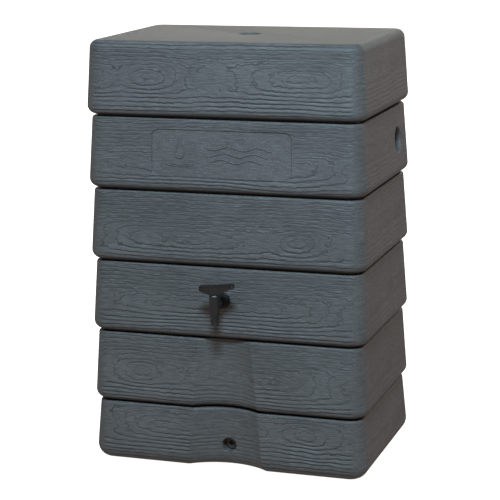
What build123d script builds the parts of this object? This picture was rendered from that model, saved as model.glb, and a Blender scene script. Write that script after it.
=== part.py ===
"""Free-standing rain barrel: a hollow tiered tank, its lift-off lid, a quarter-turn tap and a drain plug.

Units are millimetres. The origin is the centre of the flat underside, +Z is up and -Y is the front.
"""

import os
from math import atan, cos, degrees, sqrt

from build123d import *

# Overall size of the barrel
HEIGHT = 1030
WIDTH = 690
DEPTH = 470
CORNER = 45  # plan radius of the upright corners, at the widest line
LEAST_CORNER = 8  # plan radius that the innermost outlines keep
WALL = 5
EDGE_RADIUS = 1  # small edges of turned and moulded fittings
OVERLAP = 1  # how far a cut or a joined block runs into its neighbour
ON_FOOT = (Align.CENTER, Align.CENTER, Align.MIN)  # a cylinder that stands on its place

# The tiers flare towards a rounded lip, like weatherboards
BASE_TIER = 153
BODY_TIERS = 5
TIER = (HEIGHT - BASE_TIER) / BODY_TIERS  # four more body tiers and the lid
SHOULDER_INSET = 11  # how far the top of a flank stands inside the lip
LIP_RADIUS = 20
BASE_RADIUS = 33
SHOULDER_RADIUS = 7
CREASES = [0] + [BASE_TIER + TIER * i for i in range(BODY_TIERS)]
GROOVE = 4  # open line around the barrel under each lip
GROOVE_INSET = 24
CORE_INSET = GROOVE_INSET + WALL  # the inside space that joins the tiers

# Scoop up the two lowest tiers: upright cylinders on one axis in front of the barrel
SCOOP_OFFSET = 110  # axis in front of the lips
SCOOP_CHORDS = (184, 161)  # width at the lip of the base tier and of the next
SCOOP_AXIS_Y = -DEPTH / 2 - SCOOP_OFFSET
SCOOP_RADII = [sqrt((chord / 2) ** 2 + SCOOP_OFFSET**2) for chord in SCOOP_CHORDS]

# Lid and the neck under it
LID_WALL = 4.5
LID_TOP_RADIUS = 20
NECK_INSET = 30
NECK_THICK = 5
NECK_HEIGHT = 25
LID_MOUTH_INSET = NECK_INSET - 2
INLET_RADIUS = 26.5
INLET_COLLAR = 18
COLLAR_WALL = 4.5
RIM_RADIUS = 3

# Framed plaque on the highest body tier
PLAQUE = (344, 110)
PLAQUE_Z = 771
PLAQUE_CORNER = 18
PLAQUE_DEPTH = 2

# Side port for the filling hose
SIDE_PORT_RADIUS = 30
SIDE_PORT_Y = 112
SIDE_PORT_Z = 768
SIDE_PORT_LENGTH = 30
SIDE_PORT_WALL = 5

# Moulded-in bushes for 3/4 inch pipe thread
THREAD_RADIUS = 13.2
THREAD_PLAY = 0.08
BUSH_RADIUS = 17
BUSH_LENGTH = 22
BUSH_GROOVE = (8.8, 4.4, 1.5)  # start, width and depth of the groove that keys it
BUSH_SUNK = 0.5  # the tap's bush starts this far behind the wall pad
BOSS_RADIUS = 23
FIT = 0.1  # gap around a piece that sits in a socket of the same body

# Tap
TAP_Z = 424
TAP_REACH = 59  # wall pad to the axis of the upright barrel
PAD_PROUD = 1.6
GASKET = (19, 2.5)  # radius, thickness
FLANGE = (20, 3.5)
HEX = (32, 12)  # across flats, thickness
STUB_RADIUS = 10
TAIL_END = 4  # tail stops this far short of the bush's inner end
BARREL_TOP_RADIUS = 12.3
BARREL_FOOT_RADIUS = 11.3
BARREL_ABOVE = 23  # barrel above and below the tap's axis
BARREL_BELOW = 21
BARREL_BORE = 8
STEM_RADIUS = 6
STEM_CAP = 5  # thickness of the barrel's top around the stem
WATERWAY = 4.5
RUNNING = 0.06
PLUG_FOOT = 11  # plug below the tap's axis
RING_GROOVES = (12, -8)  # O-rings above and below the window
RING_THICK = 1.1
SPIGOT = 7
NOZZLE_COLLAR = (11.3, 3)
NECK = (8, 9)
NIPPLE = (9.5, 13)
NIPPLE_CHAMFER = 1.2
NIPPLE_GROOVE = 0.35  # height of its ring groove, as a share of its length
NOZZLE_BORE = 4.5

# Fan-shaped handle, in line with the wall when the tap is shut
HANDLE_THICK = 12
HANDLE_LIFT = 0.5  # handle above the barrel
HANDLE_PANEL = 2  # depth of the panel inside the handle's rim
HANDLE_RIM = 2.2
EYE_CENTRE = (43, 49)
EYE_RADIUS = 6.5
EYE_HOLE = 2.4
EYE_THICK = 6
FAN_TOP_LEFT = (-36, 47)
FAN_TOP_RIGHT = (40, 54)
FAN_TIP = (39, 42)
FAN_HEEL = (-36, 35)
FAN_FOOT_X = -2
FAN_FOOT_RADIUS = 16
FAN_CORNER = 3
SQUARE = 7
SQUARE_HEIGHT = 9
SCREW_RADIUS = 2
SCREW_HEAD = (3.6, 2.6)
SCREW_LENGTH = 14
SCREW_SEAT_THICK = 3
SCREW_SOCKET = (2.5, 1.5)  # across flats, depth

# Drain in the scoop
DRAIN_Z = 55
DRAIN_RADIUS = 17.5
DRAIN_DEPTH = 26
PLUG_HEAD = (15, 5)
PLUG_THREAD = 16
PLUG_HEX = (12, 9)
DRAIN_RING = (14.9, 1.5)

# Faces that the fittings stand on
FLARE = SHOULDER_INSET / (TIER - GROOVE - LIP_RADIUS)
TAP_WALL = DEPTH / 2 - (TAP_Z - CREASES[2] - LIP_RADIUS) * FLARE
PAD_Y = -TAP_WALL - PAD_PROUD
TAP_Y = PAD_Y - TAP_REACH
SIDE_X = WIDTH / 2 - (SIDE_PORT_Z - CREASES[4] - LIP_RADIUS) * FLARE
DRAIN_Y = SCOOP_AXIS_Y + SCOOP_RADII[0]
DRAIN_FLOOR = DRAIN_Y + DRAIN_DEPTH


def front(y, x=0, z=0):
    """A plane facing the front, with its normal along -Y."""
    return Plane(origin=(x, y, z), x_dir=(1, 0, 0), z_dir=(0, -1, 0))


def plan(inset, z):
    """The barrel's outline at a height, as a plan sketch inset from the widest line."""
    with BuildSketch(Plane.XY.offset(z)) as outline:
        RectangleRounded(WIDTH - 2 * inset, DEPTH - 2 * inset, max(CORNER - inset, LEAST_CORNER))
    return outline.sketch


def tier(bottom, top, lip, shoulder, skin=0, scoop=0):
    """One flared tier between two heights, or the space inside it when skin is its wall."""
    slope = SHOULDER_INSET / (top - bottom - lip)
    overhang = lip * (slope + 1 / cos(atan(slope)) - 1)
    inset = skin / cos(atan(slope)) + skin * slope - overhang
    height = top - bottom - 2 * skin
    with BuildPart() as block:
        add(plan(inset, bottom + skin))
        extrude(amount=height, taper=degrees(atan(slope)))
        if scoop:
            with Locations((0, SCOOP_AXIS_Y, bottom)):
                Cylinder(scoop + skin, top - bottom, align=ON_FOOT, mode=Mode.SUBTRACT)
        fillet(block.edges().group_by(Axis.Z)[0], lip - skin)
        fillet(block.edges().group_by(Axis.Z)[-1], max(shoulder - skin, 1))
    return block.part


def bush(y, z):
    """A brass bush along Y with a knurl groove, its front face at y."""
    start, width, depth = BUSH_GROOVE
    with BuildPart() as sleeve:
        with BuildSketch(front(y, z=z)):
            Circle(BUSH_RADIUS - FIT)
            Circle(THREAD_RADIUS, mode=Mode.SUBTRACT)
        extrude(amount=-BUSH_LENGTH)
        with BuildSketch(front(y + start, z=z)):
            Circle(BUSH_RADIUS)
            Circle(BUSH_RADIUS - depth, mode=Mode.SUBTRACT)
        extrude(amount=-width, mode=Mode.SUBTRACT)
    return sleeve.part


def torus_ring(plane, radius, thick):
    """A round O-ring about a plane's normal; radius is its outside radius."""
    with BuildPart() as ring:
        with Locations(plane):
            Torus(radius - thick, thick)
    return ring.part


def save(part, name):
    """Label a finished piece and write it as the node of that name."""
    part.label = name
    export_step(part, f"parts/{name}.step")


os.makedirs("parts", exist_ok=True)

# Tank: five tiers outside, the same tiers inside, with a groove and a core space where they join
tops = [crease - GROOVE for crease in CREASES[1:]]
lips = [BASE_RADIUS] + [LIP_RADIUS] * (BODY_TIERS - 1)
scoops = SCOOP_RADII + [0] * (BODY_TIERS - len(SCOOP_RADII))
NECK_FOOT = tops[-1]

with BuildPart() as core:
    add(plan(CORE_INSET, BASE_TIER / 2))
    extrude(amount=NECK_FOOT - WALL - BASE_TIER / 2)
    with Locations((0, SCOOP_AXIS_Y, 0)):
        Cylinder(SCOOP_RADII[1] + CORE_INSET, CREASES[2] + WALL, align=ON_FOOT, mode=Mode.SUBTRACT)

with BuildPart() as inside:
    add(core.part)
    for low, high, lip, scoop in zip(CREASES, tops, lips, scoops):
        add(tier(low, high, lip, SHOULDER_RADIUS, skin=WALL, scoop=scoop))

with BuildPart() as grooves:
    for top in tops:
        add(plan(GROOVE_INSET, top))
        extrude(amount=GROOVE)
    with Locations((0, SCOOP_AXIS_Y, 0)):
        Cylinder(SCOOP_RADII[1] + GROOVE_INSET, CREASES[2], align=ON_FOOT, mode=Mode.SUBTRACT)

with BuildPart() as tank_shell:
    for low, high, lip, scoop in zip(CREASES, tops, lips, scoops):
        add(tier(low, high, lip, SHOULDER_RADIUS, scoop=scoop))
    add(grooves.part)
    add(plan(NECK_INSET, CREASES[5]))
    extrude(amount=NECK_HEIGHT)
    add(inside.part, mode=Mode.SUBTRACT)
    add(plan(NECK_INSET + NECK_THICK, NECK_FOOT - 2 * WALL))
    extrude(amount=NECK_HEIGHT + 4 * WALL, mode=Mode.SUBTRACT)
    # Bosses on the wall, then the holes through them
    with BuildSketch(front(PAD_Y, z=TAP_Z)):
        Circle(BOSS_RADIUS)
    extrude(amount=-BUSH_LENGTH - PAD_PROUD)
    with BuildSketch(front(DRAIN_Y + OVERLAP, z=DRAIN_Z)):
        Circle(BOSS_RADIUS)
    extrude(amount=-DRAIN_DEPTH - BUSH_LENGTH)
    with BuildSketch(Plane.YZ.offset(SIDE_X - WALL / 2)):
        with Locations((SIDE_PORT_Y, SIDE_PORT_Z)):
            Circle(SIDE_PORT_RADIUS + SIDE_PORT_WALL)
    extrude(amount=-SIDE_PORT_LENGTH)
    for y, z in ((PAD_Y, TAP_Z), (DRAIN_FLOOR, DRAIN_Z)):
        with BuildSketch(front(y - OVERLAP, z=z)):
            Circle(BUSH_RADIUS)
        extrude(amount=-3 * BUSH_LENGTH, mode=Mode.SUBTRACT)
    with BuildSketch(front(DRAIN_FLOOR, z=DRAIN_Z)):
        Circle(DRAIN_RADIUS)
    extrude(amount=3 * DRAIN_DEPTH, mode=Mode.SUBTRACT)
    with BuildSketch(Plane.YZ.offset(SIDE_X + WALL)):
        with Locations((SIDE_PORT_Y, SIDE_PORT_Z)):
            Circle(SIDE_PORT_RADIUS)
    extrude(amount=-3 * SIDE_PORT_LENGTH, mode=Mode.SUBTRACT)
    # Shallow panel in the flared front face
    face_y = -DEPTH / 2 + (PLAQUE_Z - CREASES[4] - LIP_RADIUS) * FLARE
    with BuildSketch(Plane(origin=(0, face_y, PLAQUE_Z), x_dir=(1, 0, 0), z_dir=(0, -1, FLARE))):
        RectangleRounded(*PLAQUE, PLAQUE_CORNER)
    extrude(amount=-PLAQUE_DEPTH, mode=Mode.SUBTRACT)
save(tank_shell.part, "tank_shell")

# Lid
lid_outer = tier(CREASES[5], HEIGHT, LIP_RADIUS, LID_TOP_RADIUS)
lid_space = tier(CREASES[5], HEIGHT, LIP_RADIUS, LID_TOP_RADIUS, skin=LID_WALL)
with BuildPart() as lid:
    add(lid_outer)
    add(lid_space, mode=Mode.SUBTRACT)
    add(plan(LID_MOUTH_INSET, CREASES[5] - OVERLAP))
    extrude(amount=2 * LID_WALL, mode=Mode.SUBTRACT)
    with BuildSketch(Plane.XY.offset(HEIGHT - INLET_COLLAR)):
        Circle(INLET_RADIUS + COLLAR_WALL)
    extrude(amount=INLET_COLLAR)
    with BuildSketch(Plane.XY.offset(HEIGHT)):
        Circle(INLET_RADIUS)
    extrude(amount=-2 * INLET_COLLAR, mode=Mode.SUBTRACT)
    top_rim = lid.edges().filter_by(GeomType.CIRCLE).group_by(Axis.Z)[-1].sort_by(SortBy.RADIUS)
    fillet([edge for edge in top_rim if edge.radius < INLET_RADIUS + COLLAR_WALL], RIM_RADIUS)
save(lid.part, "lid")

# Brass bushes
save(bush(PAD_Y + BUSH_SUNK, TAP_Z), "tap_bush")
save(bush(DRAIN_FLOOR, DRAIN_Z), "drain_bush")

# Gasket and flange washer between the wall pad and the tap's hex
washer_y = PAD_Y
for name, (radius, thick) in (("tap_gasket", GASKET), ("tap_flange", FLANGE)):
    with BuildPart() as washer:
        with BuildSketch(front(washer_y, z=TAP_Z)):
            Circle(radius)
            Circle(THREAD_RADIUS + FIT, mode=Mode.SUBTRACT)
        extrude(amount=thick)
        if name == "tap_flange":
            fillet(washer.edges().group_by(Axis.Y)[0].sort_by(SortBy.RADIUS)[-1], EDGE_RADIUS)
    save(washer.part, name)
    washer_y -= thick

# Tap body: threaded tail, hex, stub and the upright barrel
HEX_FRONT = washer_y - HEX[1]
BARREL_TOP = TAP_Z + BARREL_ABOVE
BARREL_FOOT = TAP_Z - BARREL_BELOW
with BuildPart() as tap_body:
    with BuildSketch(front(PAD_Y + BUSH_LENGTH - TAIL_END, z=TAP_Z)):
        Circle(THREAD_RADIUS - THREAD_PLAY)
    extrude(amount=BUSH_LENGTH - TAIL_END + PAD_Y - washer_y)
    with BuildSketch(front(washer_y, z=TAP_Z)):
        RegularPolygon(HEX[0] / 2, 6, major_radius=False, rotation=30)
    extrude(amount=HEX[1])
    with BuildSketch(front(HEX_FRONT, z=TAP_Z)):
        Circle(STUB_RADIUS)
    extrude(amount=HEX_FRONT - TAP_Y)
    with BuildSketch(Plane(origin=(0, TAP_Y, BARREL_FOOT))):
        Circle(BARREL_FOOT_RADIUS)
    with BuildSketch(Plane(origin=(0, TAP_Y, BARREL_TOP))):
        Circle(BARREL_TOP_RADIUS)
    loft()
    with BuildSketch(Plane(origin=(0, TAP_Y, BARREL_TOP))):
        Circle(STEM_RADIUS + RUNNING)
    extrude(amount=-2 * STEM_CAP, mode=Mode.SUBTRACT)
    with BuildSketch(Plane(origin=(0, TAP_Y, BARREL_FOOT))):
        Circle(BARREL_BORE)
    extrude(amount=BARREL_ABOVE + BARREL_BELOW - STEM_CAP, mode=Mode.SUBTRACT)
    with BuildSketch(front(PAD_Y + BUSH_LENGTH, z=TAP_Z)):
        Circle(WATERWAY)
    extrude(amount=BUSH_LENGTH + TAP_REACH, mode=Mode.SUBTRACT)
save(tap_body.part, "tap_body")

# Spindle: a hollow plug with a side window, a stem and a square for the handle
PLUG_TOP = BARREL_TOP - STEM_CAP
PLUG_RADIUS = BARREL_BORE - RUNNING
spindle_grooves = [TAP_Z + height for height in RING_GROOVES]
with BuildPart() as tap_spindle:
    with BuildSketch(Plane(origin=(0, TAP_Y, TAP_Z - PLUG_FOOT))):
        Circle(PLUG_RADIUS)
    extrude(amount=PLUG_TOP - RUNNING - TAP_Z + PLUG_FOOT)
    with BuildSketch(Plane(origin=(0, TAP_Y, PLUG_TOP - OVERLAP))):
        Circle(STEM_RADIUS)
    extrude(amount=STEM_CAP + OVERLAP + HANDLE_LIFT)
    with BuildSketch(Plane(origin=(0, TAP_Y, BARREL_TOP + HANDLE_LIFT))):
        Rectangle(SQUARE, SQUARE)
    extrude(amount=SQUARE_HEIGHT)
    for groove in spindle_grooves:
        with Locations((0, TAP_Y, groove)):
            Torus(PLUG_RADIUS - RING_THICK, RING_THICK + FIT, mode=Mode.SUBTRACT)
    with BuildSketch(Plane(origin=(0, TAP_Y, TAP_Z - PLUG_FOOT))):
        Circle(WATERWAY)
    extrude(amount=PLUG_FOOT + WATERWAY, mode=Mode.SUBTRACT)
    with BuildSketch(Plane(origin=(0, TAP_Y, TAP_Z), x_dir=(0, 1, 0), z_dir=(-1, 0, 0))):
        Circle(WATERWAY)
    extrude(amount=2 * BARREL_BORE, mode=Mode.SUBTRACT)
    with BuildSketch(Plane(origin=(0, TAP_Y, BARREL_TOP + HANDLE_LIFT + SQUARE_HEIGHT))):
        Circle(SCREW_RADIUS + FIT)
    extrude(amount=-SCREW_LENGTH, mode=Mode.SUBTRACT)
save(tap_spindle.part, "tap_spindle")

with BuildPart() as spindle_rings:
    for groove in spindle_grooves:
        with Locations((0, TAP_Y, groove)):
            Torus(PLUG_RADIUS - RING_THICK, RING_THICK)
save(spindle_rings.part, "spindle_rings")

# Handle: a fan with a sunk panel on both faces, an eye at one end and a socket for the square
HANDLE_FOOT = BARREL_TOP + HANDLE_LIFT
SCREW_SEAT = HANDLE_FOOT + SQUARE_HEIGHT + SCREW_SEAT_THICK
fan_foot = (FAN_FOOT_X, HANDLE_FOOT - TAP_Z)
with BuildSketch() as fan:
    with BuildLine():
        Polyline(FAN_TOP_LEFT, FAN_TOP_RIGHT, FAN_TIP, fan_foot, FAN_HEEL, close=True)
    make_face()
    fillet(fan.vertices().sort_by(Axis.Y)[0], FAN_FOOT_RADIUS)
    fillet(fan.vertices().sort_by(Axis.X)[:2], FAN_CORNER)
with BuildSketch() as panel:
    add(fan.sketch)
    offset(amount=-HANDLE_RIM, mode=Mode.REPLACE)
with BuildPart() as tap_handle:
    with BuildSketch(front(TAP_Y + HANDLE_THICK / 2, z=TAP_Z)):
        add(fan.sketch)
    extrude(amount=HANDLE_THICK)
    with BuildSketch(Plane(origin=(0, TAP_Y, HANDLE_FOOT))):
        Rectangle(SQUARE + 2 * FIT, SQUARE + 2 * FIT)
    extrude(amount=SQUARE_HEIGHT + FIT, mode=Mode.SUBTRACT)
    with BuildSketch(Plane(origin=(0, TAP_Y, SCREW_SEAT))):
        Circle(SCREW_HEAD[0] + FIT)
    extrude(amount=FAN_TOP_RIGHT[1], mode=Mode.SUBTRACT)
    with BuildSketch(Plane(origin=(0, TAP_Y, HANDLE_FOOT + SQUARE_HEIGHT / 2))):
        Circle(SCREW_RADIUS + FIT)
    extrude(amount=SQUARE_HEIGHT, mode=Mode.SUBTRACT)
    with BuildSketch(front(TAP_Y + EYE_THICK / 2, z=TAP_Z)):
        with Locations(EYE_CENTRE):
            Circle(EYE_RADIUS)
    extrude(amount=EYE_THICK)
    with BuildSketch(front(TAP_Y + HANDLE_THICK, z=TAP_Z)):
        with Locations(EYE_CENTRE):
            Circle(EYE_HOLE)
    extrude(amount=2 * HANDLE_THICK, mode=Mode.SUBTRACT)
    for y in (TAP_Y - HANDLE_THICK / 2, TAP_Y + HANDLE_THICK / 2 - HANDLE_PANEL):
        with BuildSketch(front(y + HANDLE_PANEL, z=TAP_Z)):
            add(panel.sketch)
        extrude(amount=HANDLE_PANEL, mode=Mode.SUBTRACT)
save(tap_handle.part, "tap_handle")

with BuildPart() as handle_screw:
    with BuildSketch(Plane(origin=(0, TAP_Y, SCREW_SEAT))):
        Circle(SCREW_HEAD[0])
    extrude(amount=SCREW_HEAD[1])
    with BuildSketch(Plane(origin=(0, TAP_Y, SCREW_SEAT))):
        Circle(SCREW_RADIUS)
    extrude(amount=-SCREW_LENGTH)
    with BuildSketch(Plane(origin=(0, TAP_Y, SCREW_SEAT + SCREW_HEAD[1]))):
        RegularPolygon(SCREW_SOCKET[0] / 2, 6, major_radius=False)
    extrude(amount=-SCREW_SOCKET[1], mode=Mode.SUBTRACT)
save(handle_screw.part, "handle_screw")

# Nozzle: a spigot into the barrel, a collar under it, a neck and the hose coupling nipple
nozzle_steps = [(BARREL_BORE - FIT, SPIGOT), NOZZLE_COLLAR, NECK, NIPPLE]
spigot_top = BARREL_FOOT + SPIGOT
spigot_groove = BARREL_FOOT + SPIGOT / 2
nipple_foot = spigot_top - sum(length for _, length in nozzle_steps)
nipple_groove = nipple_foot + NIPPLE[1] * NIPPLE_GROOVE
with BuildPart() as tap_nozzle:
    step_top = spigot_top
    for radius, length in nozzle_steps:
        with BuildSketch(Plane(origin=(0, TAP_Y, step_top))):
            Circle(radius)
        extrude(amount=-length)
        step_top -= length
    chamfer(tap_nozzle.edges().group_by(Axis.Z)[0], NIPPLE_CHAMFER)
    for height, radius in ((spigot_groove, BARREL_BORE - FIT), (nipple_groove, NIPPLE[0])):
        with Locations((0, TAP_Y, height)):
            Torus(radius - RING_THICK, RING_THICK + FIT, mode=Mode.SUBTRACT)
    with BuildSketch(Plane(origin=(0, TAP_Y, spigot_top))):
        Circle(NOZZLE_BORE)
    extrude(amount=nipple_foot - spigot_top, mode=Mode.SUBTRACT)
save(tap_nozzle.part, "tap_nozzle")

for name, height, radius in (
    ("nozzle_ring", spigot_groove, BARREL_BORE - FIT),
    ("coupling_ring", nipple_groove, NIPPLE[0]),
):
    save(torus_ring(Plane(origin=(0, TAP_Y, height)), radius, RING_THICK), name)

# Drain plug with a hexagon socket, and the seal ring under its head
head_back = DRAIN_FLOOR - DRAIN_RING[1]
with BuildPart() as drain_plug:
    with BuildSketch(front(head_back, z=DRAIN_Z)):
        Circle(PLUG_HEAD[0])
    extrude(amount=PLUG_HEAD[1])
    fillet(drain_plug.edges().group_by(Axis.Y)[0], EDGE_RADIUS)
    with BuildSketch(front(head_back, z=DRAIN_Z)):
        Circle(THREAD_RADIUS - THREAD_PLAY)
    extrude(amount=-PLUG_THREAD)
    with BuildSketch(front(head_back - PLUG_HEAD[1], z=DRAIN_Z)):
        RegularPolygon(PLUG_HEX[0] / 2, 6, major_radius=False)
    extrude(amount=-PLUG_HEX[1], mode=Mode.SUBTRACT)
save(drain_plug.part, "drain_plug")

with BuildPart() as drain_ring:
    with BuildSketch(front(DRAIN_FLOOR, z=DRAIN_Z)):
        Circle(DRAIN_RING[0])
        Circle(THREAD_RADIUS + FIT, mode=Mode.SUBTRACT)
    extrude(amount=DRAIN_RING[1])
save(drain_ring.part, "drain_ring")
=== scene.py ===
import math

import bpy
import numpy as np
from mathutils import Matrix, Vector


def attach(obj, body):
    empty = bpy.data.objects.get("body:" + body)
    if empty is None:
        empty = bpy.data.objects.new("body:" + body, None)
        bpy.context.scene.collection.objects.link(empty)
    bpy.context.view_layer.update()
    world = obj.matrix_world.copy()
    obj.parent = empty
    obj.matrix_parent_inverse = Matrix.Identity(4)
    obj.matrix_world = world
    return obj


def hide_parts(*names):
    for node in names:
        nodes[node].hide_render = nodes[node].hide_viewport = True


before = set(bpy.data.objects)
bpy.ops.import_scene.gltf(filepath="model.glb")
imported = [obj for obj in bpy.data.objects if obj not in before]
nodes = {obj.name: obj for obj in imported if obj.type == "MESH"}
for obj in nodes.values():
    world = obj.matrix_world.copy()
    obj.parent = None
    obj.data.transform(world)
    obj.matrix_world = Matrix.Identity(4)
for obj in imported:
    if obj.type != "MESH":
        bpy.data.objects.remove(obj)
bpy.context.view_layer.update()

MM = 0.001

# ---------------------------------------------------------------- the barrel's own dimensions, in mm
HEIGHT = 1030.0
WIDTH = 690.0
DEPTH = 470.0
CORNER = 45.0  # plan radius of the upright corners, at the widest line
CORNER_X = WIDTH / 2 - CORNER  # centres of the corner arcs
CORNER_Y = DEPTH / 2 - CORNER
WALL = 5.0
BASE_TIER = 153.0
BODY_TIERS = 5
LID = BODY_TIERS  # the lid counts as one tier more
TIER = (HEIGHT - BASE_TIER) / BODY_TIERS
CREASES = [0.0] + [BASE_TIER + TIER * i for i in range(BODY_TIERS)]
SHOULDER_INSET = 11.0  # how far the top of a flank stands inside its lip
LIP_RADIUS = 20.0
BASE_RADIUS = 33.0
SHOULDER_RADIUS = 7.0
GROOVE = 4.0  # open line around the barrel under each lip
FLARE = SHOULDER_INSET / (TIER - GROOVE - LIP_RADIUS)
LEAN = math.atan(FLARE)  # angle of a flank to the vertical
GROOVE_INSET = 24.0
CORE_INSET = GROOVE_INSET + WALL
TOPS = [crease - GROOVE for crease in CREASES[1:]] + [HEIGHT]

LID_WALL = 4.5
LID_TOP_RADIUS = 20.0
LID_MOUTH_INSET = 28.0
NECK_INSET = 30.0
NECK_THICK = 5.0
NECK_TOP = CREASES[LID] + 25.0
INLET_RADIUS = 26.5
INLET_RIM = 3.0
COLLAR_WALL = 4.5
COLLAR_FOOT = HEIGHT - 18.0

SCOOP_OFFSET = 110.0  # the scoop's upright axis stands this far in front of the lips
SCOOP_AXIS_Y = -DEPTH / 2 - SCOOP_OFFSET
SCOOP_RADII = [math.hypot(chord / 2, SCOOP_OFFSET) for chord in (184.0, 161.0)]
SCOOP_TIERS = SCOOP_RADII + [None, None, None]  # the scoop's radius at each body tier

PLAQUE = (344.0, 110.0)
PLAQUE_Z = 771.0
PLAQUE_CORNER = 18.0
PLAQUE_SUNK = 3.2
PLAQUE_FLARE = 1.5  # the recess is this much larger at the surface
PLAQUE_DRAFT = 4.5  # and narrows by this much on the way in
PLAQUE_Y = -DEPTH / 2 + (PLAQUE_Z - CREASES[4] - LIP_RADIUS) * FLARE

TAP_Z = 424.0
PAD_PROUD = 1.6  # the tap's wall pad stands out of the flank
PAD_CHAMFER = 0.8
PAD_Y = -(DEPTH / 2 - (TAP_Z - CREASES[2] - LIP_RADIUS) * FLARE) - PAD_PROUD
BUSH_RADIUS = 17.0
BUSH_LENGTH = 22.0
BOSS_RADIUS = 23.0
DRAIN_Z = 55.0
DRAIN_RADIUS = 17.5
DRAIN_DEPTH = 26.0
DRAIN_RIM = 2.5
DRAIN_Y = SCOOP_AXIS_Y + SCOOP_RADII[0]
PORT_Y = 112.0
PORT_Z = 768.0
PORT_RADIUS = 30.0
PORT_RIM = 4.0
PORT_LENGTH = 32.5
PORT_X = WIDTH / 2 - (PORT_Z - CREASES[4] - LIP_RADIUS) * FLARE

RELIEF = 1.5  # depth of the deepest grain grooves
RING_PITCH = 9.2  # spacing of the growth rings where they run straight
GROOVE_POWER = 2.6  # narrows the groove between two rings
HEART_REACH = 42.0  # height above or below a heart line at which its depth has halved
CORNER_WRAP = 60.0  # length of board that goes round a corner
FACE_MARGIN = 20.0  # how far the front and back boards reach into the corners
# the lid top's grain grooves are drawn darker, partly the grain's tone and partly painted shade, with
# painted highlights at their edges
LID_TOP_GRAIN = 0.7  # strength of the grain on the lid's flat top, in colour only
NEAR = 0.01  # two heights this close are one


# ---------------------------------------------------------------- noise on a plane, seeded
NOISE_CELLS = (97, 89)  # the table repeats after this many cells


def noise(seed, u, v):
    """Smooth value noise in -1..1, one lattice cell per unit."""
    table = np.random.default_rng(seed).uniform(-1, 1, NOISE_CELLS)
    nu, nv = NOISE_CELLS
    u, v = np.broadcast_arrays(np.asarray(u, float), np.asarray(v, float))
    iu, iv = np.floor(u).astype(int), np.floor(v).astype(int)
    fu, fv = u - iu, v - iv
    fu, fv = fu * fu * (3 - 2 * fu), fv * fv * (3 - 2 * fv)
    a, b = table[iu % nu, iv % nv], table[(iu + 1) % nu, iv % nv]
    c, d = table[iu % nu, (iv + 1) % nv], table[(iu + 1) % nu, (iv + 1) % nv]
    return (a * (1 - fu) + b * fu) * (1 - fv) + (c * (1 - fu) + d * fu) * fv


def smooth(lo, hi, x):
    """A soft step from 0 at lo to 1 at hi."""
    t = np.clip((x - lo) / (hi - lo), 0, 1)
    return t * t * (3 - 2 * t)


# ---------------------------------------------------------------- plain-sawn boards
# Each board is a cut through growth rings: the height of its heart line, and how deep the
# heart lies below the face at points along the board. A dip in depth makes an eye, a steady
# rise makes a pointed lobe.
def plank(heart, *depth):
    """A board from the height of its heart line and its (place along, depth of the heart) points."""
    return dict(heart=heart, depth=depth)


FRONT_BOARDS = [
    plank(100, (-300, 46), (-252, 27), (-170, 7), (-60, 10), (60, 16), (130, 24), (207, 3), (262, 24),
          (300, 32)),
    plank(80, (-300, 36), (-262, 25), (-211, 2), (-160, 24), (-90, 30), (0, 12), (120, 9), (200, 22),
          (246, 36), (300, 52)),
    plank(80, (-300, 24), (-180, 10), (-60, 6), (60, 7), (150, 10), (226, 22), (286, 38), (300, 44)),
    plank(63, (-300, 44), (-288, 35), (-200, 13), (-60, 9), (60, 22), (128, 28), (186, 2), (244, 28),
          (300, 38)),
    plank(64, (-300, 22), (-120, 10), (60, 8), (200, 15), (264, 27), (294, 39), (300, 42)),
    plank(92, (-300, 14), (-267, 30), (-235, 26), (-186, 7), (-130, 22), (-70, 44), (20, 44), (96, 27),
          (170, 8), (240, 11), (300, 34)),
]
BACK_BOARDS = [
    plank(88, (-300, 12), (-200, 8), (-90, 26), (-20, 3), (50, 28), (180, 12), (300, 40)),
    plank(74, (-300, 44), (-210, 20), (-80, 8), (60, 12), (160, 30), (214, 3), (262, 26), (300, 34)),
    plank(92, (-300, 20), (-180, 34), (-110, 3), (-40, 28), (120, 10), (300, 16)),
    plank(60, (-300, 10), (-100, 8), (80, 14), (210, 34), (300, 52)),
    plank(84, (-300, 46), (-240, 26), (-100, 8), (100, 10), (220, 24), (300, 30)),
    plank(70, (-300, 30), (-220, 4), (-150, 28), (0, 12), (140, 8), (240, 22), (300, 44)),
]
SIDE_BOARDS = [plank(62 + 9 * k, (-900, 30), (0, 26), (900, 30)) for k in range(BODY_TIERS + 1)]


def board_rings(board, seed, s, t):
    """Growth rings counted at points along (s) and up (t) a board in mm, and how steeply they dive."""
    depth_s, depth_h = zip(*board["depth"])
    shifts = (0, -16, 16, -8, 8)  # averaged over, so that no corner shows in the lines
    depth = sum(np.interp(s + shift, depth_s, depth_h) for shift in shifts) / len(shifts)
    depth = depth / (1 + ((t - board["heart"]) / HEART_REACH) ** 2)
    heart = board["heart"] + 3.5 * noise(seed, s / 130, 0.5) + 1.2 * noise(seed + 1, s / 37, 0.5)
    rise = t - heart
    rise = rise + 2.0 * noise(seed + 2, s / 110, t / 18) + 0.6 * noise(seed + 3, s / 34, t / 9)
    radius = np.sqrt(rise * rise * (1 + 0.10 * noise(seed + 4, s / 150, t / 60)) + depth * depth)
    ragged = 0.16 * noise(seed + 5, s / 9, t / 4.5) + 0.10 * noise(seed + 6, s / 4.2, t / 3)
    steep = np.clip(depth / np.maximum(radius, 1), 0, 1)
    return radius / RING_PITCH + ragged * (0.35 + 0.9 * steep), steep


def groove_of(rings, power):
    """Narrow groove once per ring, 0..1."""
    return (0.5 - 0.5 * np.cos(2 * np.pi * rings)) ** power


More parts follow.
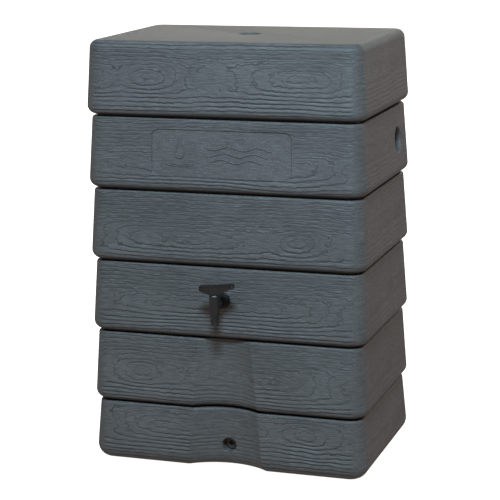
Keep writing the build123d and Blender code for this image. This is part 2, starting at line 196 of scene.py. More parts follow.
def groove_power(board, seed, s, t, rings):
    """Power that keeps the groove as wide where the rings spread out as where they run close."""
    reach = 1.5
    rise_s = board_rings(board, seed, s + reach, t)[0] - rings
    rise_t = board_rings(board, seed, s, t + reach)[0] - rings
    crowding = np.hypot(rise_s, rise_t) * RING_PITCH / reach
    return GROOVE_POWER / np.clip(crowding, 0.30, 1.3) ** 2


# ---------------------------------------------------------------- profile and outline
def tier_shape(k):
    """Bottom, top, lip radius and shoulder radius of a tier."""
    lip = BASE_RADIUS if k == 0 else LIP_RADIUS
    shoulder = LID_TOP_RADIUS if k == LID else SHOULDER_RADIUS
    return CREASES[k], TOPS[k], lip, shoulder


def tier_rows(bottom, top, lip, shoulder, skin, lip_steps, step, shoulder_steps):
    """Rows (z, inset, scoop inset) up one flared tier, from the crease below to the crease above."""
    slope = SHOULDER_INSET / (top - bottom - lip)
    lean = math.atan(slope)
    over = lip * (slope + 1 / math.cos(lean) - 1)
    small = max(shoulder - skin, 1.0)
    centre_z = top - bottom - shoulder
    centre_i = centre_z * slope - over + shoulder / math.cos(lean)
    rows = []
    for k in range(lip_steps + 1):
        angle = -math.pi / 2 + (lean + math.pi / 2) * k / lip_steps
        z = bottom + lip + (lip - skin) * math.sin(angle)
        scoop = lip - (lip - skin) * math.cos(min(angle, 0))
        rows.append((z, lip - (lip - skin) * math.cos(angle), scoop))
    low = rows[-1]
    high_z = bottom + centre_z + small * math.sin(lean)
    high_i = centre_i - small * math.cos(lean)
    count = max(int((high_z - low[0]) / step), 2)
    for k in range(1, count):
        f = k / count
        rows.append((low[0] + (high_z - low[0]) * f, low[1] + (high_i - low[1]) * f, skin))
    for k in range(shoulder_steps + 1):
        angle = lean + (math.pi / 2 - lean) * k / shoulder_steps
        z = bottom + centre_z + small * math.sin(angle)
        rows.append((z, centre_i - small * math.cos(angle), shoulder - small * math.cos(angle)))
    return rows


def columns(fine):
    """Numbers of columns along each stretch of the outline."""
    if fine:
        return dict(flank=62, scoop=46, corner=8, side=56, back=104)
    return dict(flank=24, scoop=20, corner=5, side=30, back=48)


def outline(inset, scoop, count):
    """Points and outward normals of the plan outline, anticlockwise from the front left."""
    radius = CORNER - inset
    front_y = -DEPTH / 2 + inset
    edge = 90.0 if scoop is None else math.sqrt(scoop**2 - (front_y - SCOOP_AXIS_Y) ** 2)
    points, normals = [], []
    for x in np.linspace(-CORNER_X, -edge, count["flank"], endpoint=False):
        points.append((x, front_y))
        normals.append((0, -1))
    for f in np.linspace(-1, 1, count["scoop"], endpoint=False):
        if scoop is None:
            points.append((edge * f, front_y))
            normals.append((0, -1))
        else:
            angle = math.asin(edge / scoop) * f
            points.append((scoop * math.sin(angle), SCOOP_AXIS_Y + scoop * math.cos(angle)))
            normals.append((-math.sin(angle), -math.cos(angle)) if f > -1 else (0, -1))
    for x in np.linspace(edge, CORNER_X, count["flank"], endpoint=False):
        points.append((x, front_y))
        normals.append((0, -1))
    out_x, out_y = CORNER_X + radius, CORNER_Y + radius
    corners = [  # centre, first angle, and the straight side that follows: from, to, normal, steps
        ((CORNER_X, -CORNER_Y), -90, (out_x, -CORNER_Y), (out_x, CORNER_Y), (1, 0), count["side"]),
        ((CORNER_X, CORNER_Y), 0, (CORNER_X, out_y), (-CORNER_X, out_y), (0, 1), count["back"]),
        ((-CORNER_X, CORNER_Y), 90, (-out_x, CORNER_Y), (-out_x, -CORNER_Y), (-1, 0), count["side"]),
        ((-CORNER_X, -CORNER_Y), 180, None, None, None, 0),
    ]
    for (cx, cy), start, a, b, normal, steps in corners:
        for k in range(count["corner"]):
            angle = math.radians(start + 90 * k / count["corner"])
            points.append((cx + radius * math.cos(angle), cy + radius * math.sin(angle)))
            normals.append((math.cos(angle), math.sin(angle)))
        for k in range(steps):
            f = k / steps
            points.append((a[0] + (b[0] - a[0]) * f, a[1] + (b[1] - a[1]) * f))
            normals.append(normal)
    return np.array(points), np.array(normals)


def inset_at(x, y):
    """How far inside the widest outline a point lies."""
    qx, qy = np.abs(x) - CORNER_X, np.abs(y) - CORNER_Y
    outside = np.hypot(np.maximum(qx, 0), np.maximum(qy, 0))
    return CORNER - outside - np.minimum(np.maximum(qx, qy), 0)


def outer_table():
    """Heights and insets of each tier's outside, for telling skin from inside."""
    table = []
    for k in range(BODY_TIERS + 1):
        rows = tier_rows(*tier_shape(k), 0, 16, 4, 12)
        table.append((np.array([row[0] for row in rows]), np.array([row[1] for row in rows])))
    return table


OUTER = outer_table()


def tier_at(z, lid):
    """Which tier each height belongs to."""
    if lid:
        return np.full(len(z), LID)
    return np.clip(np.searchsorted(CREASES, z + NEAR, side="right") - 1, 0, BODY_TIERS - 1)


def depth_behind_skin(x, y, z, tier):
    """How far behind the barrel's outside each point lies."""
    expected = np.zeros(len(z))
    for k in range(BODY_TIERS + 1):
        pick = tier == k
        expected[pick] = np.interp(z[pick], *OUTER[k])
    depth = inset_at(x, y) - expected
    for k, radius in enumerate(SCOOP_RADII):
        pick = (tier == k) & (y < 0)
        into_scoop = np.hypot(x, y - SCOOP_AXIS_Y) - radius
        depth[pick] = np.minimum(depth[pick], into_scoop[pick])
    return depth


def surface_fields(co, lid):
    """Fields of each vertex, from positions in mm: along, up, rings, strength, groove power and shade.

    Shade is 1 in the creases and under the lips: painted shade that darkens the plastic's colour there.
    """
    x, y, z = co[:, 0], co[:, 1], co[:, 2]
    tier = tier_at(z, lid)
    between = np.abs(x) <= CORNER_X + FACE_MARGIN
    front = between & (y < -CORNER_Y * 0.6)
    back = between & (y > CORNER_Y + 4)
    right = x > CORNER_X + FACE_MARGIN
    left = x < -CORNER_X - FACE_MARGIN
    along = np.where(back, -x, x)
    along = np.where(left, -CORNER_X - CORNER_WRAP - y - CORNER_Y, along)
    along = np.where(right, CORNER_X + CORNER_WRAP + y + CORNER_Y, along)
    rel = z - np.array(CREASES)[tier]
    rings, steep, strength = np.zeros(len(co)), np.zeros(len(co)), np.zeros(len(co))
    shade = np.ones(len(co))
    power = np.full(len(co), GROOVE_POWER)
    for k in range(BODY_TIERS + 1):
        for mask, boards, seed in ((front, FRONT_BOARDS, 100), (back, BACK_BOARDS, 400)):
            pick = (tier == k) & mask
            place = (boards[k], seed + 10 * k, along[pick], rel[pick])
            rings[pick], steep[pick] = board_rings(*place)
            power[pick] = groove_power(*place, rings[pick])
        for mask, seed in ((right, 700), (left, 900)):
            pick = (tier == k) & mask
            rings[pick], _ = board_rings(SIDE_BOARDS[k], seed + 10 * k, along[pick], rel[pick])
        pick = tier == k
        top = TOPS[k] - CREASES[k]
        strength[pick] = smooth(3, 13, rel[pick]) * (1 - smooth(top - 6, top - 1, rel[pick]))
        # painted shade, put in the colour: full at the crease under each lip above the base, fading out
        # 8.5 mm up the lip's underside; on the body every point above a tier's top, the groove and the
        # neck among them, is fully shaded
        shade[pick] = 1 - smooth(0.5, 8.5, rel[pick]) if k else 0
        if k != LID:
            shade[pick & (rel > top - 0.4)] = 1
    corner = np.maximum(np.abs(x) - CORNER_X, 0) * np.maximum(np.abs(y) - CORNER_Y, 0)
    strength *= 1 - 0.75 * smooth(200, 900, corner)
    strength *= np.where(right | left, 0.20, 1.0)
    strength *= 1 - 0.62 * steep**2
    strength *= 0.70 + 0.36 * noise(31, along / 60, z / 15) + 0.20 * noise(32, along / 16, z / 6)
    scoop_radius = np.array([radius or 0 for radius in SCOOP_TIERS] + [0])[tier]
    in_scoop = (tier < len(SCOOP_RADII)) & (np.hypot(x, y - SCOOP_AXIS_Y) - scoop_radius < 1.6)
    strength *= np.where(in_scoop, 0.45, 1.0)
    skin = depth_behind_skin(x, y, z, tier) < RELIEF + 0.4
    strength = np.clip(strength, 0, 1) * skin
    if lid:
        on_top = z > HEIGHT - NEAR
        along = np.where(on_top, x, along)
        rings = np.where(on_top, y / RING_PITCH, rings)
        strength = np.where(on_top, LID_TOP_GRAIN, strength)
        up = np.where(z > HEIGHT - LID_TOP_RADIUS, z + (y + DEPTH / 2), z)
    else:
        up = z
    return along, up, rings, strength, power, shade


def relief_depth(co, lid):
    """How far the skin sinks at each vertex, in mm; the lid's flat top stays flat."""
    _, _, rings, strength, power, _ = surface_fields(co, lid)
    on_top = co[:, 2] > HEIGHT - NEAR
    return np.where(on_top, 0, RELIEF * strength * groove_of(rings, power))


# ---------------------------------------------------------------- closed shells as grids of rows
def shell_mesh(name, rows, count, lid):
    """A closed mesh from rows (z, inset, scoop radius, grained), each joined to the next."""
    rings, normals, zs = [], [], []
    for z, inset, scoop, _ in rows:
        points, normal = outline(inset, scoop, count)
        rings.append(points)
        normals.append(normal)
        zs.append(np.full(len(points), z))
    plan, normal, z = np.concatenate(rings), np.concatenate(normals), np.concatenate(zs)
    co = np.column_stack([plan, z])
    n = len(rings[0])
    grained = np.repeat([row[3] for row in rows], n)
    sink = np.zeros(len(co))
    sink[grained] = relief_depth(co[grained], lid)
    co[:, :2] -= normal * sink[:, None]
    i = np.arange(n)
    j = np.arange(len(rows) - 1)[:, None]
    a, b = j * n + i, j * n + (i + 1) % n
    quads = np.stack([a, b, b + n, a + n], axis=-1).reshape(-1, 4)
    faces = [list(i[::-1])] + quads.tolist() + [list((len(rows) - 1) * n + i)]
    mesh = bpy.data.meshes.new(name)
    mesh.from_pydata((co * MM).tolist(), [], faces)
    mesh.update()
    return mesh


def row_step(fine):
    """Height between two rows on a flank."""
    return 1.6 if fine else 5.0


def tank_mesh(fine):
    """The tank: up the outside, over the neck and down the inside."""
    rows = []
    groove_scoop = SCOOP_RADII[1] + GROOVE_INSET
    for k in range(BODY_TIERS):
        scoop = SCOOP_TIERS[k]
        for z, inset, scoop_inset in tier_rows(*tier_shape(k), 0, 12, row_step(fine), 6):
            rows.append((z, inset, scoop + scoop_inset if scoop else None, True))
        radius = groove_scoop if scoop else None
        rows.append((TOPS[k], GROOVE_INSET, radius, False))
        rows.append((CREASES[k + 1], GROOVE_INSET, radius, False))
        if radius and not SCOOP_TIERS[k + 1]:
            rows.append((CREASES[k + 1], GROOVE_INSET, None, False))
    half = NECK_THICK / 2
    rows.append((CREASES[LID], NECK_INSET, None, False))
    rows.append((NECK_TOP - half, NECK_INSET, None, False))
    for angle in np.linspace(0, math.pi, 9)[1:-1]:
        z = NECK_TOP - half + half * math.sin(angle)
        rows.append((z, NECK_INSET + half - half * math.cos(angle), None, False))
    rows.append((NECK_TOP - half, NECK_INSET + NECK_THICK, None, False))
    rows.append((TOPS[4] - WALL, NECK_INSET + NECK_THICK, None, False))
    core_scoop = SCOOP_RADII[1] + CORE_INSET
    for k in reversed(range(BODY_TIERS)):
        scoop = SCOOP_TIERS[k]
        for z, inset, scoop_inset in reversed(tier_rows(*tier_shape(k), WALL, 4, 40, 2)):
            rows.append((z, inset, scoop + scoop_inset if scoop else None, False))
        if k:
            below = core_scoop if SCOOP_TIERS[k - 1] else None
            rows.append((CREASES[k] + WALL, CORE_INSET, core_scoop if scoop else None, False))
            if below and not scoop:
                rows.append((CREASES[k] + WALL, CORE_INSET, below, False))
            rows.append((TOPS[k - 1] - WALL, CORE_INSET, below, False))
    return shell_mesh("tank_skin", rows, columns(fine), False)


def lid_mesh(fine):
    """The lid: down its inside, round the mouth and up the outside."""
    inside = tier_rows(*tier_shape(LID), LID_WALL, 4, 40, 5)
    outside = tier_rows(*tier_shape(LID), 0, 12, row_step(fine), 12)
    rows = [(z, inset, None, False) for z, inset, _ in reversed(inside)]
    rows.append((CREASES[LID] + LID_WALL, LID_MOUTH_INSET, None, False))
    rows.append((CREASES[LID], LID_MOUTH_INSET, None, False))
    rows += [(z, inset, None, True) for z, inset, _ in outside]
    return shell_mesh("lid_skin", rows, columns(fine), True)


# ---------------------------------------------------------------- tools that cut and add
def lathe(profile, origin, direction, segments=72):
    """A closed solid of revolution from (radius, height) steps; the ends close on the axis."""
    axis = Vector(direction).normalized()
    turn = axis.to_track_quat("Z", "Y").to_matrix()
    verts, faces = [], []
    for radius, height in profile:
        for k in range(segments):
            angle = 2 * math.pi * k / segments
            local = Vector((radius * math.cos(angle), radius * math.sin(angle), height))
            verts.append((turn @ local + Vector(origin)) * MM)
    for j in range(len(profile) - 1):
        for k in range(segments):
            a, b = j * segments + k, j * segments + (k + 1) % segments
            faces.append((a, b, b + segments, a + segments))
    faces.append(list(range(segments))[::-1])
    faces.append([(len(profile) - 1) * segments + k for k in range(segments)])
    mesh = bpy.data.meshes.new("tool")
    mesh.from_pydata(verts, [], faces)
    mesh.update()
    return mesh


def prism(outline_points, floor_scale, depth, place):
    """A cutter with its rim at height 0 and a smaller floor, from an outline in mm, placed by a matrix."""
    reach = 4.0  # how far it stands out of the surface
    n = len(outline_points)
    verts = [place @ Vector((x, y, reach)) * MM for x, y in outline_points]
    verts += [place @ Vector((x, y, 0.0)) * MM for x, y in outline_points]
    floor = [(x * floor_scale[0], y * floor_scale[1], -depth) for x, y in outline_points]
    verts += [place @ Vector(point) * MM for point in floor]
    faces = [list(range(n))]
    for ring in (0, 1):
        for k in range(n):
            a, b = ring * n + k, ring * n + (k + 1) % n
            faces.append((a, a + n, b + n, b))
    faces.append([2 * n + k for k in range(n)][::-1])
    mesh = bpy.data.meshes.new("tool")
    mesh.from_pydata(verts, [], faces)
    mesh.update()
    return mesh


def combine(mesh, steps):
    """Apply a list of (operation, tool mesh) to a mesh and return the finished mesh."""
    work = bpy.data.objects.new("work", mesh)
    bpy.context.collection.objects.link(work)
    tools = []
    for operation, tool in steps:
        helper = bpy.data.objects.new("helper", tool)
        bpy.context.collection.objects.link(helper)
        modifier = work.modifiers.new("cut", "BOOLEAN")
        modifier.operation = operation
        modifier.solver = "MANIFOLD"
        modifier.object = helper
        tools.append(helper)
    bpy.context.view_layer.update()
    done = bpy.data.meshes.new_from_object(work.evaluated_get(bpy.context.evaluated_depsgraph_get()))
    for helper in tools + [work]:
        bpy.data.objects.remove(helper)
    return done


def rounded_rectangle(width, height, radius, steps=9):
    """Points of a rounded rectangle about the origin, anticlockwise."""
    points = []
    for sx, sy, start in ((1, 1, 0), (-1, 1, 90), (-1, -1, 180), (1, -1, 270)):
        for k in range(steps + 1):
            angle = math.radians(start + 90 * k / steps)
            x = sx * (width / 2 - radius) + radius * math.cos(angle)
            points.append((x, sy * (height / 2 - radius) + radius * math.sin(angle)))
    return points


AXIS = 0.02  # least radius of a turned profile, where it meets its axis


def flare(radius, rim):
    """Profile of a cutter that rounds the rim of a hole; height 0 is the surface, up is out."""
    steps = [(AXIS, -rim), (radius, -rim)]
    for angle in np.linspace(0, math.pi / 2, 7)[1:]:
        steps.append((radius + rim - rim * math.cos(angle), -rim + rim * math.sin(angle)))
    steps += [(radius + rim, 3.0), (AXIS, 3.0)]
    return steps


def cylinder(radius, low, high):
    """Profile of a plain cylinder."""
    return [(AXIS, low), (radius, low), (radius, high), (AXIS, high)]


OUT_OF_FRONT, OUT_OF_SIDE, UP = (0, -1, 0), (1, 0, 0), (0, 0, 1)
OUT_OF_FLANK = (math.cos(LEAN), 0, math.sin(LEAN))
TAP_PAD = (0, PAD_Y, TAP_Z)
DRAIN = (0, DRAIN_Y, DRAIN_Z)
PORT = (PORT_X, PORT_Y, PORT_Z)
LID_CENTRE = (0, 0, 0)

# local x along the board, local y up the flared face, local z out of it
PLAQUE_PLACE = Matrix(
    (
        (1, 0, 0, 0),
        (0, math.sin(LEAN), -math.cos(LEAN), PLAQUE_Y),
        (0, math.cos(LEAN), math.sin(LEAN), PLAQUE_Z),
        (0, 0, 0, 1),
    )
)
PLAQUE_RIM = rounded_rectangle(PLAQUE[0] + PLAQUE_FLARE, PLAQUE[1] + PLAQUE_FLARE, PLAQUE_CORNER)
PLAQUE_FLOOR = (1 - PLAQUE_DRAFT / PLAQUE[0], 1 - PLAQUE_DRAFT / PLAQUE[1])

tap_boss = cylinder(BOSS_RADIUS, -BUSH_LENGTH - PAD_PROUD, -PAD_CHAMFER)[:3]
tap_boss += [(BOSS_RADIUS - PAD_CHAMFER, 0), (AXIS, 0)]
drain_boss = cylinder(BOSS_RADIUS, -DRAIN_DEPTH - BUSH_LENGTH, -2.0)
port_pipe = cylinder(PORT_RADIUS + WALL, -PORT_LENGTH, -2.5)

tank_steps = [
    ("UNION", lathe(tap_boss, TAP_PAD, OUT_OF_FRONT)),
    ("UNION", lathe(drain_boss, DRAIN, OUT_OF_FRONT)),
    ("UNION", lathe(port_pipe, PORT, OUT_OF_SIDE)),
    ("DIFFERENCE", lathe(cylinder(BUSH_RADIUS, -60, 10), TAP_PAD, OUT_OF_FRONT)),
    ("DIFFERENCE", lathe(cylinder(BUSH_RADIUS, -90, -20), DRAIN, OUT_OF_FRONT)),
    ("DIFFERENCE", lathe(cylinder(DRAIN_RADIUS, -DRAIN_DEPTH, 20), DRAIN, OUT_OF_FRONT)),
    ("DIFFERENCE", lathe(flare(DRAIN_RADIUS, DRAIN_RIM), DRAIN, OUT_OF_FRONT)),
    ("DIFFERENCE", lathe(cylinder(PORT_RADIUS, -60, 20), PORT, OUT_OF_SIDE, 96)),
    ("DIFFERENCE", lathe(flare(PORT_RADIUS, PORT_RIM), PORT, OUT_OF_FLANK, 96)),
    ("DIFFERENCE", prism(PLAQUE_RIM, PLAQUE_FLOOR, PLAQUE_SUNK, PLAQUE_PLACE)),
]
collar = cylinder(INLET_RADIUS + COLLAR_WALL, COLLAR_FOOT, HEIGHT - 2)
inlet = cylinder(INLET_RADIUS, HEIGHT - 40, HEIGHT + 10)
lid_steps = [
    ("UNION", lathe(collar, LID_CENTRE, UP)),
    ("DIFFERENCE", lathe(inlet, LID_CENTRE, UP, 96)),
    ("DIFFERENCE", lathe(flare(INLET_RADIUS, INLET_RIM), (0, 0, HEIGHT), UP, 96)),
]


# ---------------------------------------------------------------- node materials
def new_material(name):
    """An empty node material: its tree and its Principled shader."""
    material = bpy.data.materials.new(name)
    material.use_nodes = True
    tree = material.node_tree
    for node in list(tree.nodes):
        tree.nodes.remove(node)
    output = tree.nodes.new("ShaderNodeOutputMaterial")
    shader = tree.nodes.new("ShaderNodeBsdfPrincipled")
    tree.links.new(shader.outputs["BSDF"], output.inputs["Surface"])
    return material, tree, shader


def link(tree, source, target):
    tree.links.new(source, target)


def math_node(tree, operation, a, b=None, c=None):
    node = tree.nodes.new("ShaderNodeMath")
    node.operation = operation
    for socket, value in zip(node.inputs, (a, b, c)):
        if value is None:
            continue
        if isinstance(value, (int, float)):
            socket.default_value = value
        else:
            link(tree, value, socket)
    return node.outputs[0]


def noise_node(tree, vector, scale, detail=3.0, rough=0.55):
    node = tree.nodes.new("ShaderNodeTexNoise")
    node.inputs["Scale"].default_value = scale
    node.inputs["Detail"].default_value = detail
    node.inputs["Roughness"].default_value = rough
    link(tree, vector, node.inputs["Vector"])
    return node.outputs["Fac"]


def attribute(tree, name):
    node = tree.nodes.new("ShaderNodeAttribute")
    node.attribute_name = name
    return node.outputs["Fac"]


def object_coords(tree):
    return tree.nodes.new("ShaderNodeTexCoord").outputs["Object"]


def ramp(tree, value, stops):
    node = tree.nodes.new("ShaderNodeValToRGB")
    elements = node.color_ramp.elements
    while len(elements) < len(stops):
        elements.new(0.5)
    for element, (position, colour) in zip(elements, stops):
        element.position = position
        element.color = (*colour, 1)
    link(tree, value, node.inputs["Fac"])
    return node.outputs["Color"]


def bump(tree, height, distance, strength, under=None):
    node = tree.nodes.new("ShaderNodeBump")
    node.inputs["Strength"].default_value = strength
    node.inputs["Distance"].default_value = distance
    link(tree, height, node.inputs["Height"])
    if under is not None:
        link(tree, under, node.inputs["Normal"])
    return node.outputs["Normal"]


def board_plastic(name, dark, base, light):
    """Rotationally moulded grey plastic with wood grain, from the fields that finish_shell stores.

    Each growth ring is a groove drawn darker, partly the grain's own tone and partly painted shade,
    with a painted highlight on both sides; streaks run along the boards, and the parts without grain
    are stippled. The crease shade field darkens the colour as painted shade in the creases and under
    the lips.
    """
    material, tree, shader = new_material(name)
    along, up = attribute(tree, "grain_along"), attribute(tree, "grain_up")
    rings, relief = attribute(tree, "grain_rings"), attribute(tree, "grain_relief")
    coords = object_coords(tree)
    wander = noise_node(tree, coords, 55.0, 3.0, 0.6)
    rings = math_node(tree, "MULTIPLY_ADD", wander, 0.5, rings)
    wave = math_node(tree, "COSINE", math_node(tree, "MULTIPLY", rings, 2 * math.pi))
    power = attribute(tree, "grain_power")
    trough = math_node(tree, "MULTIPLY_ADD", wave, -0.5, 0.5)
    groove = math_node(tree, "POWER", trough, power)
    # edge: a painted highlight along both sides of each groove
    edge = math_node(tree, "POWER", trough, math_node(tree, "MULTIPLY", power, 0.3))
    edge = math_node(tree, "MULTIPLY", math_node(tree, "SUBTRACT", edge, groove), relief)
    groove = math_node(tree, "MULTIPLY", groove, relief)
    plain = math_node(tree, "SUBTRACT", 1.0, math_node(tree, "MULTIPLY", relief, 2.2))
    plain = math_node(tree, "MAXIMUM", plain, 0.0)
    combine_xyz = tree.nodes.new("ShaderNodeCombineXYZ")
    link(tree, math_node(tree, "MULTIPLY", along, 0.034), combine_xyz.inputs[0])
    link(tree, math_node(tree, "MULTIPLY", up, 0.40), combine_xyz.inputs[1])
    streak = noise_node(tree, combine_xyz.outputs[0], 1.0, 3.0, 0.65)
    speck = noise_node(tree, coords, 520.0, 2.0, 0.6)
    stipple = noise_node(tree, coords, 300.0, 2.0, 0.7)
    patch = noise_node(tree, coords, 7.0, 3.0, 0.5)
    stipple = math_node(tree, "MULTIPLY", math_node(tree, "SUBTRACT", stipple, 0.5), plain)
    # the groove is drawn darker, partly the grain's own tone and partly painted shade, and its edges
    # lighter as a painted highlight
    tone = math_node(tree, "MULTIPLY_ADD", groove, -0.62, 0.10)
    tone = math_node(tree, "MULTIPLY_ADD", edge, 0.34, tone)
    tone = math_node(tree, "MULTIPLY_ADD", streak, 0.70, tone)
    tone = math_node(tree, "MULTIPLY_ADD", stipple, 0.5, tone)
    tone = math_node(tree, "MULTIPLY_ADD", patch, 0.20, tone)
    colour = ramp(tree, tone, ((0.12, dark), (0.5, base), (0.88, light)))
    # painted shade: the crease shade field scales the colour down to 12% in the creases, under the lips
    # and above each tier's top
    painted_shade_factor = math_node(tree, "MULTIPLY_ADD", attribute(tree, "painted_crease_shade"), -0.88, 1.0)
    colour_with_painted_shade = tree.nodes.new("ShaderNodeVectorMath")
    colour_with_painted_shade.operation = "SCALE"
    link(tree, colour, colour_with_painted_shade.inputs[0])
    link(tree, painted_shade_factor, colour_with_painted_shade.inputs["Scale"])
    link(tree, colour_with_painted_shade.outputs[0], shader.inputs["Base Color"])
    rough = math_node(tree, "MULTIPLY_ADD", speck, 0.14, 0.46)
    rough = math_node(tree, "MULTIPLY_ADD", streak, 0.10, rough)
    rough = math_node(tree, "MULTIPLY_ADD", groove, 0.10, rough)
    link(tree, rough, shader.inputs["Roughness"])
    height = math_node(tree, "MULTIPLY", groove, -0.5)
    height = math_node(tree, "MULTIPLY_ADD", streak, 0.7, height)
    height = math_node(tree, "MULTIPLY_ADD", stipple, 0.25, height)
    grain_bump = bump(tree, height, 0.0009, 0.9)
    link(tree, bump(tree, speck, 0.00025, 0.5, grain_bump), shader.inputs["Normal"])
    shader.inputs["Specular IOR Level"].default_value = 0.4
    return material


def moulded_black(name, base=(0.008, 0.008, 0.0085), rough=0.32, grain=900.0):
    """Injection-moulded black plastic, satin with a fine spark-eroded texture."""
    material, tree, shader = new_material(name)
    coords = object_coords(tree)
    speck = noise_node(tree, coords, grain, 2.0, 0.6)
    cloud = noise_node(tree, coords, 60.0, 3.0, 0.5)
    tone = math_node(tree, "MULTIPLY_ADD", cloud, 0.6, math_node(tree, "MULTIPLY", speck, 0.4))
    dark = tuple(c * 0.7 for c in base)
    light = tuple(c * 1.7 for c in base)
    link(tree, ramp(tree, tone, ((0.3, dark), (0.7, light))), shader.inputs["Base Color"])
    link(tree, math_node(tree, "MULTIPLY_ADD", cloud, 0.22, rough - 0.08), shader.inputs["Roughness"])
    link(tree, bump(tree, speck, 0.00012, 0.5), shader.inputs["Normal"])
    return material


def turned_brass(name):
    """Turned brass with fine tool marks round the bore."""
    material, tree, shader = new_material(name)
    coords = object_coords(tree)
    marks = noise_node(tree, coords, 1400.0, 2.0, 0.5)
    stain = noise_node(tree, coords, 90.0, 4.0, 0.6)
    colours = ((0.3, (0.42, 0.27, 0.09)), (0.55, (0.66, 0.47, 0.19)), (0.8, (0.78, 0.6, 0.3)))
    link(tree, ramp(tree, stain, colours), shader.inputs["Base Color"])
    link(tree, math_node(tree, "MULTIPLY_ADD", stain, 0.3, 0.18), shader.inputs["Roughness"])
    link(tree, bump(tree, marks, 0.0001, 0.35), shader.inputs["Normal"])
    shader.inputs["Metallic"].default_value = 1.0
    return material


def screw_steel(name):
    """Plain machined steel."""
    material, tree, shader = new_material(name)
    coords = object_coords(tree)
    marks = noise_node(tree, coords, 1600.0, 2.0, 0.5)
    cloud = noise_node(tree, coords, 120.0, 3.0, 0.5)
    colours = ((0.3, (0.32, 0.32, 0.33)), (0.7, (0.6, 0.6, 0.61)))
    link(tree, ramp(tree, cloud, colours), shader.inputs["Base Color"])
    link(tree, math_node(tree, "MULTIPLY_ADD", cloud, 0.25, 0.22), shader.inputs["Roughness"])
    link(tree, bump(tree, marks, 0.00008, 0.4), shader.inputs["Normal"])
    shader.inputs["Metallic"].default_value = 1.0
    return material


# the darkest colour of the plank ramp, reached in the grain's grooves: partly the grain's own grey and
# partly painted shade
GROOVE_GREY_AND_SHADE = (0.030, 0.031, 0.0315)
TANK_PLASTIC = board_plastic("tank_plastic", GROOVE_GREY_AND_SHADE, (0.066, 0.0675, 0.068), (0.150, 0.154, 0.156))
LID_PLASTIC = board_plastic("lid_plastic", GROOVE_GREY_AND_SHADE, (0.067, 0.0685, 0.069), (0.154, 0.158, 0.160))
TAP_PLASTIC = moulded_black("tap_plastic")
PLUG_PLASTIC = moulded_black("plug_plastic", (0.03, 0.03, 0.031), 0.42)
SPINDLE_PLASTIC = moulded_black("spindle_plastic", (0.45, 0.45, 0.43), 0.36)
RUBBER = moulded_black("ring_rubber", (0.015, 0.015, 0.015), 0.62, 1400.0)
BRASS = turned_brass("bush_brass")
STEEL = screw_steel("screw_steel")


# ---------------------------------------------------------------- the barrel's two shells
# the last field is painted shade for the creases and under the lips
FIELD_NAMES = ("grain_along", "grain_up", "grain_rings", "grain_relief", "grain_power", "painted_crease_shade")


def finish_shell(name, mesh, steps, material, node, body, lid):
    """Cut the openings, store the fields for the material, and put the skin in the CAD node's place."""
    mesh = combine(mesh, steps)
    mesh.name = name
    co = np.zeros(len(mesh.vertices) * 3, np.float32)
    mesh.vertices.foreach_get("co", co)
    fields = surface_fields(co.reshape(-1, 3).astype(float) / MM, lid)
    for field_name, values in zip(FIELD_NAMES, fields):
        layer = mesh.attributes.new(field_name, "FLOAT", "POINT")
        layer.data.foreach_set("value", np.asarray(values, np.float32))
    mesh.materials.clear()
    mesh.materials.append(material)
    mesh.shade_smooth()
    mesh.set_sharp_from_angle(angle=math.radians(38))
    shell = bpy.data.objects.new(name, mesh)
    bpy.context.collection.objects.link(shell)
    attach(shell, body)
    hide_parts(node)


fine = True
finish_shell("tank_skin", tank_mesh(fine), tank_steps, TANK_PLASTIC, "tank_shell", "tank", False)
finish_shell("lid_skin", lid_mesh(fine), lid_steps, LID_PLASTIC, "lid", "lid", True)


# ---------------------------------------------------------------- emblem on the plaque's floor
DROP_X = -102.0
EMBLEM_LINE = 1.9  # radius of the rounded line


def arc(x, y, radius_x, radius_y, start, end, count):
    """Points along an elliptical arc between two angles in degrees."""
    angles = np.linspace(math.radians(start), math.radians(end), count)
    return [(x + radius_x * math.cos(a), y + radius_y * math.sin(a)) for a in angles]


def emblem():
    """A generic water emblem: a drop with ripples under it, and three long waves beside it."""
    drop = []
    for k in range(40):
        angle = 2 * math.pi * k / 40
        width = 15 * math.sin(angle) * math.sin(angle / 2) ** 1.4
        drop.append((DROP_X + width, 12 + 24 * math.cos(angle)))
    lines = [(drop, True), (arc(DROP_X - 6, 1, 5, 7, 150, 255, 9), False)]
    for reach, sag in ((24, 5), (36, 9)):
        lines.append((arc(DROP_X, -22, reach, sag, 205, 335, 15), False))
    for k in range(3):
        xs = np.linspace(-40 + 6 * k, 124 - 10 * k, 60)
        lines.append(([(x, 14 - 15 * k + 4.2 * math.sin((x + 9 * k) / 11.5)) for x in xs], False))
    return lines


curve = bpy.data.curves.new("plaque_emblem", "CURVE")
curve.dimensions = "3D"
curve.bevel_depth = EMBLEM_LINE * MM
curve.bevel_resolution = 3
curve.use_fill_caps = True
for points, closed in emblem():
    spline = curve.splines.new("POLY")
    spline.points.add(len(points) - 1)
    for target, (px, py) in zip(spline.points, points):
        place = PLAQUE_PLACE @ Vector((px, py, -PLAQUE_SUNK))
        target.co = (*(place * MM), 1)
    spline.use_cyclic_u = closed
curve_object = bpy.data.objects.new("plaque_emblem", curve)
bpy.context.collection.objects.link(curve_object)
bpy.context.view_layer.update()
evaluated_curve = curve_object.evaluated_get(bpy.context.evaluated_depsgraph_get())
emblem_mesh = bpy.data.meshes.new_from_object(evaluated_curve)
bpy.data.objects.remove(curve_object)
emblem_mesh.materials.clear()
emblem_mesh.materials.append(TANK_PLASTIC)
emblem_mesh.shade_smooth()
emblem_object = bpy.data.objects.new("plaque_emblem", emblem_mesh)
bpy.context.collection.objects.link(emblem_object)
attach(emblem_object, "tank")

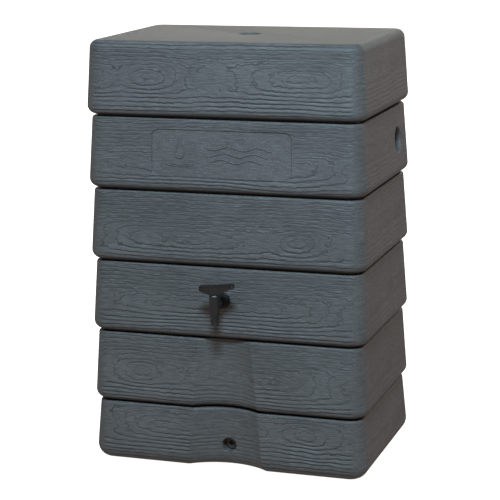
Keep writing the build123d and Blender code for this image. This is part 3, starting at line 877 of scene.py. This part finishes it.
# ---------------------------------------------------------------- carried-over CAD nodes
NODE_MATERIALS = {
    "tap_bush": BRASS,
    "drain_bush": BRASS,
    "tap_gasket": RUBBER,
    "tap_flange": TAP_PLASTIC,
    "tap_body": TAP_PLASTIC,
    "tap_nozzle": TAP_PLASTIC,
    "nozzle_ring": RUBBER,
    "coupling_ring": RUBBER,
    "tap_spindle": SPINDLE_PLASTIC,
    "spindle_rings": RUBBER,
    "tap_handle": TAP_PLASTIC,
    "handle_screw": STEEL,
    "drain_plug": PLUG_PLASTIC,
    "drain_ring": RUBBER,
}
for name, material in NODE_MATERIALS.items():
    for slot in nodes[name].material_slots:
        slot.material = material


# ---------------------------------------------------------------- stage, lights and camera
def area_light(name, place, target, size, energy, colour):
    """A rectangular softbox, in metres and watts, turned to face a target."""
    light = bpy.data.lights.new(name, "AREA")
    light.shape = "RECTANGLE"
    light.size, light.size_y = size
    light.energy = energy
    light.color = colour
    lamp = bpy.data.objects.new(name, light)
    lamp.location = place
    lamp.rotation_euler = (Vector(target) - Vector(place)).to_track_quat("-Z", "Y").to_euler()
    bpy.context.collection.objects.link(lamp)


floor_mesh = bpy.data.meshes.new("floor")
floor_mesh.from_pydata([(-60, -60, 0), (60, -60, 0), (60, 60, 0), (-60, 60, 0)], [], [(0, 1, 2, 3)])
floor = bpy.data.objects.new("floor", floor_mesh)
bpy.context.collection.objects.link(floor)
floor_material, floor_tree, floor_shader = new_material("floor_paper")
paper = noise_node(floor_tree, object_coords(floor_tree), 40.0, 2.0, 0.5)
paper_whites = ((0.0, (0.90, 0.90, 0.90)), (1.0, (0.93, 0.93, 0.93)))
link(floor_tree, ramp(floor_tree, paper, paper_whites), floor_shader.inputs["Base Color"])
floor_shader.inputs["Roughness"].default_value = 0.9
floor_shader.inputs["Specular IOR Level"].default_value = 0.0
floor_shader.inputs["Emission Color"].default_value = (1.0, 1.0, 1.0, 1)
floor_shader.inputs["Emission Strength"].default_value = 1.0
floor_mesh.materials.append(floor_material)
# a shadowless white sheet, as under a cut-out picture, that throws no light back on the barrel
floor.visible_diffuse = False
floor.visible_glossy = False
floor.visible_transmission = False
floor.visible_shadow = False

world = bpy.data.worlds.new("studio")
bpy.context.scene.world = world
world.use_nodes = True
world.node_tree.nodes["Background"].inputs["Color"].default_value = (1.0, 0.86, 0.78, 1)
world.node_tree.nodes["Background"].inputs["Strength"].default_value = 0.41

area_light("key_softbox", (0.75, -2.64, 3.05), (0, -0.2, 0.5), (0.8, 0.6), 168, (0.585, 0.83, 1.0))
area_light("side_fill", (2.5, 2.5, 1.4), (0, 0, 0.5), (1.6, 1.6), 14, (1.0, 0.90, 0.90))
area_light("back_softbox", (-1.5, 8.0, 2.4), (0, 0, 0.8), (6.0, 2.0), 145, (1.0, 0.98, 0.84))

# the camera, from a perspective fit to the barrel's edges
CAMERA_PLACE = (1.327, -3.987, 1.414)
yaw, pitch, roll = math.radians(18.51), math.radians(12.32), math.radians(-0.77)
right = Vector((math.cos(yaw), math.sin(yaw), 0))
forward = Vector((-math.sin(yaw) * math.cos(pitch), math.cos(yaw) * math.cos(pitch), -math.sin(pitch)))
above = right.cross(forward)
right_rolled = right * math.cos(roll) + above * math.sin(roll)
above_rolled = above * math.cos(roll) - right * math.sin(roll)
camera_data = bpy.data.cameras.new("camera")
camera_data.lens = 125.06
camera_data.sensor_width = 36.0
camera_data.clip_end = 200.0
camera = bpy.data.objects.new("camera", camera_data)
camera_matrix = Matrix((right_rolled, above_rolled, -forward)).transposed().to_4x4()
camera_matrix.translation = Vector(CAMERA_PLACE)
camera.matrix_world = camera_matrix
bpy.context.collection.objects.link(camera)
bpy.context.scene.camera = camera
bpy.context.scene.view_settings.view_transform = "Standard"
